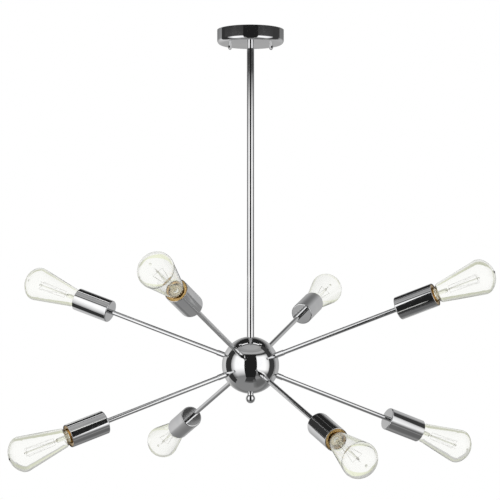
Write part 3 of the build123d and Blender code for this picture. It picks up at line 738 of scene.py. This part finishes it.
# Lamp glass: clear blown envelopes with a flared neck, a long taper, a round shoulder and a seal pip.
# The neck stands in the cement. A glass stem on the cement carries a rod for the filament.
# The glass has a faint olive cast that shows at the edges, and it casts no shadow.
glass_constants = {
    "Base Color": (1, 1, 1, 1),
    "Transmission Weight": 1.0,
    "IOR": 1.47,
    "Specular Tint": (0.2, 0.2, 0.2, 1),
}
glass = new_finish("lamp_glass", glass_constants)
vary(glass, grain(glass, 25 * mm), "Roughness", 0.0, 0.004)
relief(glass, grain(glass, 18 * mm, detail=1.0), 0.02 * mm)
absorb = add_node(
    glass.node_tree, "ShaderNodeVolumeAbsorption", {"Color": (0.72, 0.74, 0.45, 1), "Density": 20.0}
)
glass_output = glass.node_tree.nodes["Material Output"]
glass.node_tree.links.new(absorb.outputs["Volume"], glass_output.inputs["Volume"])

neck_end = cap_end + 0.5 * mm
flare_bend = 3 * mm
flare_turn = 62
waist_round = 7 * mm
bulb_radius = 31 * mm
bulb_tip = cup_mouth + 111 * mm
shoulder_radius = 17 * mm
shoulder_height = bulb_tip - 24 * mm
pip_radius = 2.2 * mm
pip_centre = bulb_tip - 0.8 * mm
stem_top = neck_start + 24 * mm
rod_tip = stem_top + 60 * mm


def envelope(inset):
    """Half section of the envelope from the neck up to the crown, moved in from the outer skin."""
    flare_reach = flare_bend + waist_round
    flare_centre = (neck_radius + flare_bend, neck_end)
    waist_centre = (
        flare_centre[0] - flare_reach * cos(radians(flare_turn)),
        neck_end + flare_reach * sin(radians(flare_turn)),
    )
    shoulder_centre = (bulb_radius - shoulder_radius, shoulder_height)
    run = shoulder_centre[0] - waist_centre[0]
    rise = shoulder_centre[1] - waist_centre[1]
    taper = degrees(acos((waist_round - shoulder_radius) / hypot(run, rise)) - atan2(rise, run))
    shoulder = shoulder_radius - inset
    tip = bulb_tip - inset
    drop = tip - shoulder_height
    crown = (drop**2 + shoulder_centre[0] ** 2 - shoulder**2) / (2 * (drop - shoulder))
    crown_start = degrees(atan2(shoulder_height - (tip - crown), shoulder_centre[0]))
    points = [(neck_radius - inset, neck_start)]
    points += arc(flare_centre, flare_bend + inset, 180, 180 - flare_turn, 8)
    points += arc(waist_centre, waist_round - inset, -flare_turn, -taper, 8)[1:]
    points += arc(shoulder_centre, shoulder, -taper, crown_start, 36)
    points += arc((0, tip - crown), crown, crown_start, 90, 28)[1:]
    points[-1] = (0, tip)
    return points


outer_skin = [point for point in envelope(0) if point[0] > 1.6 * pip_radius]
pip_foot = (pip_radius * 1.25, outer_skin[-1][1] + 0.15 * mm)
pip = arc((0, pip_centre), pip_radius, 25, 90, 8)
pip[-1] = (0, pip[-1][1])
outer_skin = [(neck_radius - glass_wall, neck_start)] + outer_skin + [pip_foot] + pip
inner_skin = envelope(glass_wall)[::-1]
stem_foot = cement_bed + 0.05 * mm
stem_tube = 4 * mm
glass_rod = 1.5 * mm
stem_skin = [
    (0, stem_foot),
    (6 * mm, stem_foot),
    (4.6 * mm, stem_foot + 1.5 * mm),
    (stem_tube, stem_foot + 5 * mm),
    (stem_tube, stem_top - 6 * mm),
    (3.4 * mm, stem_top - 1 * mm),
    (2.4 * mm, stem_top),
    (glass_rod, stem_top + 0.6 * mm),
    (glass_rod, rod_tip - 1 * mm),
    (1.0 * mm, rod_tip - 0.2 * mm),
    (0, rod_tip),
]
lamp_glass = turned("lamp_glass", outer_skin, inner_skin, stem_skin, facets=96, crease=60)
for arm in range(1, arm_count + 1):
    envelope_piece = on_lamp(arm, "lamp_envelope", lamp_glass, glass, "lamp_glass", "bulb_glass")
    envelope_piece.visible_shadow = False

# Lamp filaments: a cage of fine coiled strands between two wire spiders on the glass rod.
# Drawn tungsten wire, dulled to grey, with two lead wires out of the stem and a small cap on the rod.
tungsten = new_finish("tungsten_wire", {"Metallic": 1.0})
tungsten_draw = grain(tungsten, 0.6 * mm)
tint(tungsten, tungsten_draw, (0.3, (0.55, 0.54, 0.50)), (0.7, (0.70, 0.69, 0.65)))
vary(tungsten, tungsten_draw, "Roughness", 0.3, 0.5)

coil_tree, given = new_tree("coiled_strand", Coil="Float", Pitch="Float", Wire="Float", Finish="Material")
strand = add_node(coil_tree, "GeometryNodeMeshToCurve", {0: given["Geometry"]}).outputs[0]
spacing = maths(coil_tree, "DIVIDE", given["Pitch"], 6.0)
fine = add_node(coil_tree, "GeometryNodeResampleCurve", {"Curve": strand, "Length": spacing}, mode="LENGTH")
along = add_node(coil_tree, "GeometryNodeSplineParameter").outputs["Length"]
coil_turn = maths(coil_tree, "MULTIPLY", maths(coil_tree, "DIVIDE", along, given["Pitch"]), 2 * pi)
sideways = add_node(coil_tree, "GeometryNodeInputNormal").outputs[0]
ahead = add_node(coil_tree, "GeometryNodeInputTangent").outputs[0]
across = vectors(coil_tree, "CROSS_PRODUCT", {0: ahead, 1: sideways})["Vector"]
cosine = maths(coil_tree, "COSINE", coil_turn)
sine = maths(coil_tree, "SINE", coil_turn)
side_part = vectors(coil_tree, "SCALE", {0: sideways, "Scale": cosine})["Vector"]
across_part = vectors(coil_tree, "SCALE", {0: across, "Scale": sine})["Vector"]
around = vectors(coil_tree, "ADD", {0: side_part, 1: across_part})["Vector"]
swing = vectors(coil_tree, "SCALE", {0: around, "Scale": given["Coil"]})["Vector"]
coiled = add_node(coil_tree, "GeometryNodeSetPosition", {"Geometry": fine.outputs[0], "Offset": swing})
wire_size = {"Resolution": 4, "Radius": given["Wire"]}
wire_round = add_node(coil_tree, "GeometryNodeCurvePrimitiveCircle", wire_size)
wire_runs = {"Curve": coiled.outputs[0], "Profile Curve": wire_round.outputs[0]}
wire_mesh = add_node(coil_tree, "GeometryNodeCurveToMesh", wire_runs)
close_tree(coil_tree, wire_mesh.outputs[0], given["Finish"])


def edges(name, *runs):
    """Mesh of loose edges along runs of points."""
    points = [point for run in runs for point in run]
    links = []
    start = 0
    for run in runs:
        links += [(start + step, start + step + 1) for step in range(len(run) - 1)]
        start += len(run)
    mesh = bpy.data.meshes.new(name)
    mesh.from_pydata(points, links, [])
    return mesh


strand_pairs = 4
low_level = stem_top + 4 * mm
high_level = stem_top + 56 * mm
low_spider = 6 * mm
high_spider = 10 * mm
collar_bore = 1.6 * mm
collar_rim = 1.9 * mm
collar_half = 0.3 * mm
lead_offset = 2.6 * mm
lead_start = stem_top - 4 * mm
strand_step = 2 * pi / strand_pairs
quarter_turn = pi / 2


def spider_tip(radius, height, turn):
    """Point on a spider's rim at a turn about the lamp's axis."""
    return Vector((radius * cos(turn + quarter_turn), radius * sin(turn + quarter_turn), height))


strands = []
supports = []
for pair in range(strand_pairs):
    turn = pair * strand_step
    low_tip = spider_tip(low_spider, low_level, turn)
    high_tip = spider_tip(high_spider, high_level, turn + strand_step / 2)
    next_tip = spider_tip(low_spider, low_level, turn + strand_step)
    strands += [(low_tip, high_tip), (high_tip, next_tip)]
    supports.append((spider_tip(collar_rim, low_level, turn), low_tip))
    supports.append((spider_tip(collar_rim, high_level, turn + strand_step / 2), high_tip))
for lead_turn in (0, pi):
    lead_foot = spider_tip(lead_offset, lead_start, lead_turn)
    supports.append((lead_foot, spider_tip(lead_offset, low_level, lead_turn)))
coils = grown(
    "coils", edges("strands", *strands), coil_tree,
    Coil=0.2 * mm, Pitch=0.5 * mm, Wire=0.07 * mm, Finish=tungsten,
)
wires = grown(
    "wires", edges("supports", *supports), coil_tree,
    Coil=0.0, Pitch=12 * mm, Wire=0.2 * mm, Finish=tungsten,
)
collar = turned("collar", tube(collar_bore, collar_rim, -collar_half, collar_half), facets=16)
collar_places = [Matrix.Translation((0, 0, level)) for level in (low_level, high_level)]
collars = joined("collars", *[(collar, place) for place in collar_places])
rod_cap_outline = [
    (0, rod_tip - 0.1 * mm),
    (glass_rod, rod_tip - 0.6 * mm),
    (1.7 * mm, rod_tip),
    (1.0 * mm, rod_tip + 0.4 * mm),
    (0, rod_tip + 0.5 * mm),
]
rod_cap = turned("rod_cap", rod_cap_outline, facets=24)
filament = joined("filament", (coils, here), (wires, here), (collars, here), (rod_cap, here))
for arm in range(1, arm_count + 1):
    on_lamp(arm, "lamp_filament", filament, tungsten, "filament_wire", "bulb_filament")

# Stage: a pale floor far below the fixture, a white surround and two soft lamps.
# A tent of pale and dark cloth, which only mirror finishes see, gives the chrome its streaks.
# A few cards behind the fixture, which show only through glass, draw the edges of the lamps.
floor_height = -5.0
floor_half = 40.0
floor_finish = new_finish("pale_floor", {"Specular IOR Level": 0.2})
floor_speck = grain(floor_finish, 0.15)
tint(floor_finish, floor_speck, (0.3, (0.80, 0.80, 0.79)), (0.7, (0.84, 0.84, 0.83)))
vary(floor_finish, floor_speck, "Roughness", 0.6, 0.8)


def glowing(name, colour):
    """Cloth that glows in a colour, at the level its points carry."""
    finish = bpy.data.materials.new(name)
    finish.use_nodes = True
    finish.cycles.emission_sampling = "NONE"
    tree = finish.node_tree
    tree.nodes.remove(tree.nodes["Principled BSDF"])
    level = add_node(tree, "ShaderNodeAttribute", attribute_name="level")
    glow = add_node(tree, "ShaderNodeEmission", {"Color": (*colour, 1), "Strength": level.outputs["Fac"]})
    tree.links.new(glow.outputs[0], tree.nodes["Material Output"].inputs["Surface"])
    return finish


tent_cloth = glowing("tent_cloth", (1, 1, 1))
flag_cloth = glowing("flag_cloth", (0.97, 1.0, 0.80))

tent_radius = 0.9
tent_floor = -1.6
tent_top = 1.2
card_steps = 16


def stage_card(name, place, finish):
    """Stage card whose points a function places by its two shares, across and up."""
    shares = [step / card_steps for step in range(card_steps + 1)]
    row = card_steps + 1
    corners = [place(across, up) for up in shares for across in shares]
    faces = []
    for up in range(card_steps):
        for across in range(card_steps):
            first = up * row + across
            faces.append((first, first + 1, first + 1 + row, first + row))
    mesh = bpy.data.meshes.new(name)
    mesh.from_pydata(corners, [], faces)
    mesh.materials.append(finish)
    card = bpy.data.objects.new(name, mesh)
    bpy.context.scene.collection.objects.link(card)
    return card


def between(ends, share):
    """Value at a share of the way between two ends."""
    return ends[0] + (ends[1] - ends[0]) * share


def flat(x_ends, y_ends, height):
    """Places on a level card."""
    return lambda across, up: (between(x_ends, across), between(y_ends, up), height)


def upright(bearings, z_ends, inset=0.0):
    """Places on a curved wall of the tent, between two bearings in degrees from the camera's side."""

    def place(across, up):
        bearing = radians(between(bearings, across))
        reach = tent_radius - inset
        return (reach * sin(bearing), -reach * cos(bearing), between(z_ends, up))

    return place


def ramp(share, stops):
    """Level at a share of the way along stops of (share, level)."""
    for (low, start), (high, end) in zip(stops, stops[1:]):
        if share <= high:
            return between((start, end), (share - low) / (high - low))
    return stops[-1][1]


even = ((0, 1), (1, 1))


def cloth(name, place, level, across=even, up=even, through_glass=False):
    """Tent cloth that glows at a level, which may fade across it and up it."""
    card = stage_card(name, place, flag_cloth if through_glass else tent_cloth)
    card.visible_camera = False
    card.visible_diffuse = False
    card.visible_glossy = not through_glass
    card.visible_transmission = through_glass
    card.visible_shadow = False
    glow = card.data.attributes.new("level", "FLOAT", "POINT")
    row = card_steps + 1
    for point in range(len(card.data.vertices)):
        fade = ramp((point % row) / card_steps, across) * ramp((point // row) / card_steps, up)
        glow.data[point].value = level * fade


stage_card("floor", flat((-floor_half, floor_half), (-floor_half, floor_half), floor_height), floor_finish)

tent_ends = (-tent_radius, tent_radius)
card_gap = 0.01
floor_cards = tent_floor + card_gap
strip_fade = ((0, 1), (0.7, 1), (1, 4))
right_fade = ((0, 1.5), (0.25, 1), (1, 1))
right_swell = ((0, 1.4), (0.25, 1), (0.75, 1), (1, 1.4))
cloth("tent_floor", flat(tent_ends, tent_ends, tent_floor), 0.28)
cloth("floor_strip", flat((-0.35, 0.35), (-0.9, -0.25), floor_cards), 0.05, up=strip_fade)
cloth("floor_right", flat((0.15, 0.9), (-0.55, 0.35), floor_cards), 0.15, right_fade, right_swell)
cloth("ceiling_front", flat(tent_ends, (-tent_radius, 0.0), tent_top), 0.43)
cloth("ceiling_middle", flat(tent_ends, (0.0, 0.12), tent_top), 0.15)
cloth("ceiling_back", flat(tent_ends, (0.12, tent_radius), tent_top), 0.02)
cloth("front_bar", upright((-26, 24), (tent_floor, 0.2), 0.03), 0.018)
cloth("upper_band", upright((-116, 116), (0.05, 0.2), card_gap), 0.06, up=((0, 1.3), (0.5, 1), (1, 0.25)))
cloth("upper_pale", upright((-100, 100), (0.2, 0.52)), 0.50, up=((0, 0.7), (0.5, 1), (1, 0.9)))
cloth("upper_front", upright((-100, 100), (0.52, tent_top)), 0.37, up=((0, 0.8), (0.4, 1), (1, 1)))
wall_rise = ((0, 0.38), (0.24, 0.55), (0.31, 1), (0.76, 1), (0.88, 0.45), (1, 0.05))
left_wall_fade = ((0, 1.3), (0.3, 1.1), (0.5, 0.95), (1, 0.68))
right_wall_fade = ((0, 1), (0.5, 0.95), (1, 0.77))
cloth("back_wall_left", upright((-116, -180), (tent_floor, 0.35)), 0.60, left_wall_fade, wall_rise)
cloth("back_wall_right", upright((109, 180), (tent_floor, 0.35)), 0.53, right_wall_fade, wall_rise)
cloth("back_top", upright((100, 260), (0.35, tent_top)), 0.02)
cloth("flag_left", upright((-117, -84), (tent_floor, 0.1), 0.02), 0.04)
cloth("flag_top", upright((-117, -99), (0.1, 0.36), 0.02), 0.04)
cloth("flag_right", upright((79, 109), (-1.2, 0.9), 0.02), 0.05)
left_box_fade = ((0, 1), (0.62, 1), (1, 0.25))
left_box_rise = ((0, 0.2), (0.41, 1), (0.91, 1), (1, 0.06))
cloth("soft_box_left", upright((-26, -86), (-1.4, 0.07), card_gap), 1.25, left_box_fade, left_box_rise)
right_box_fade = ((0, 1), (0.6, 1), (0.88, 0.7), (1, 0.2))
right_box_rise = ((0, 0.12), (0.17, 0.14), (0.27, 0.5), (0.36, 1), (0.91, 1), (1, 0.06))
cloth("soft_box_right", upright((24, 81), (-1.4, 0.07), card_gap), 1.25, right_box_fade, right_box_rise)
for side in (-1, 1):
    light_place = flat((side * 0.22, side * 0.78), (0.2, 0.38), tent_top - card_gap)
    cloth(f"ceiling_light_{side + 1}", light_place, 1.2)
    cloth(f"wall_light_{side + 1}", upright((side * 117, side * 126), (0.75, tent_top), card_gap), 0.9)
    cloth(f"side_wall_{side + 1}", upright((side * 24, side * 119), (tent_floor, 0.0)), 0.27)

hub_level = hub_centre.z
glass_level = 0.58
glass_bearings = (132, 228)
glass_span = ((0, 1), (0.17, 1), (0.33, 1.6), (0.67, 1.6), (0.83, 1), (1, 1))
side_rise = (hub_level - 0.3, hub_level + 0.3)
middle_rise = (hub_level - 0.08, hub_level + 0.08)
for side in (-1, 1):
    strip_place = upright(glass_bearings, (hub_level + side * 0.28, hub_level + side * 0.40))
    side_place = upright((180 + side * 47, 180 + side * 57), side_rise, card_gap)
    cloth(f"glass_strip_{side + 1}", strip_place, glass_level, glass_span, through_glass=True)
    cloth(f"glass_side_{side + 1}", side_place, glass_level, through_glass=True)
cloth("glass_middle", upright(glass_bearings, middle_rise), glass_level, glass_span, through_glass=True)

world = bpy.data.worlds.new("white_surround")
world.use_nodes = True
world_tree = world.node_tree
world_tree.nodes.clear()
seen_white = add_node(world_tree, "ShaderNodeBackground", {"Color": (1, 1, 1, 1), "Strength": 1.0})
soft_light = add_node(world_tree, "ShaderNodeBackground", {"Color": (1, 1, 1, 1), "Strength": 0.7})
ray = add_node(world_tree, "ShaderNodeLightPath")
seen = maths(world_tree, "MAXIMUM", ray.outputs["Is Camera Ray"], ray.outputs["Is Glossy Ray"])
seen = maths(world_tree, "MAXIMUM", seen, ray.outputs["Is Transmission Ray"])
surround = add_node(
    world_tree, "ShaderNodeMixShader", {0: seen, 1: soft_light.outputs[0], 2: seen_white.outputs[0]}
)
add_node(world_tree, "ShaderNodeOutputWorld", {"Surface": surround.outputs[0]})
bpy.context.scene.world = world

lamp_distance = 2.2
lamp_bearing = radians(52)
lamp_rise = 0.1
lamp_size = 1.5
lamp_radiance = 1.25
for side in (-1, 1):
    lamp = bpy.data.lights.new(f"softbox_{side + 1}", "AREA")
    lamp.shape = "RECTANGLE"
    lamp.size = lamp_size
    lamp.size_y = lamp_size
    lamp.energy = lamp_radiance * pi * lamp_size**2
    lamp_object = bpy.data.objects.new(lamp.name, lamp)
    away = Vector((sin(lamp_bearing) * side, -cos(lamp_bearing), lamp_rise)) * lamp_distance
    lamp_object.location = hub_centre + away
    lamp_object.rotation_euler = (-away).to_track_quat("-Z", "Y").to_euler()
    lamp_object.visible_transmission = False
    bpy.context.scene.collection.objects.link(lamp_object)

# Camera: level with the hub, a little to the left of the fixture's own front, looking slightly up.
# Its place and lens were fitted to the cups, the hub and the canopy in the photo.
camera_distance = 3.6
camera_turn = radians(-1.65)
camera_rise = 0.0574
camera_height = hub_level - 1 * mm
camera_data = bpy.data.cameras.new("camera")
camera_data.lens = 144.9
camera_data.sensor_width = 36
camera_data.shift_x = -0.001
camera = bpy.data.objects.new("camera", camera_data)
ahead_of_camera = Vector((-sin(camera_turn), cos(camera_turn), 0))
camera.location = Vector((0, 0, camera_height)) - ahead_of_camera * camera_distance
sight = ahead_of_camera * cos(camera_rise) + Vector((0, 0, sin(camera_rise)))
camera.rotation_euler = sight.to_track_quat("-Z", "Y").to_euler()
bpy.context.scene.collection.objects.link(camera)
bpy.context.scene.camera = camera
bpy.context.scene.view_settings.view_transform = "Standard"
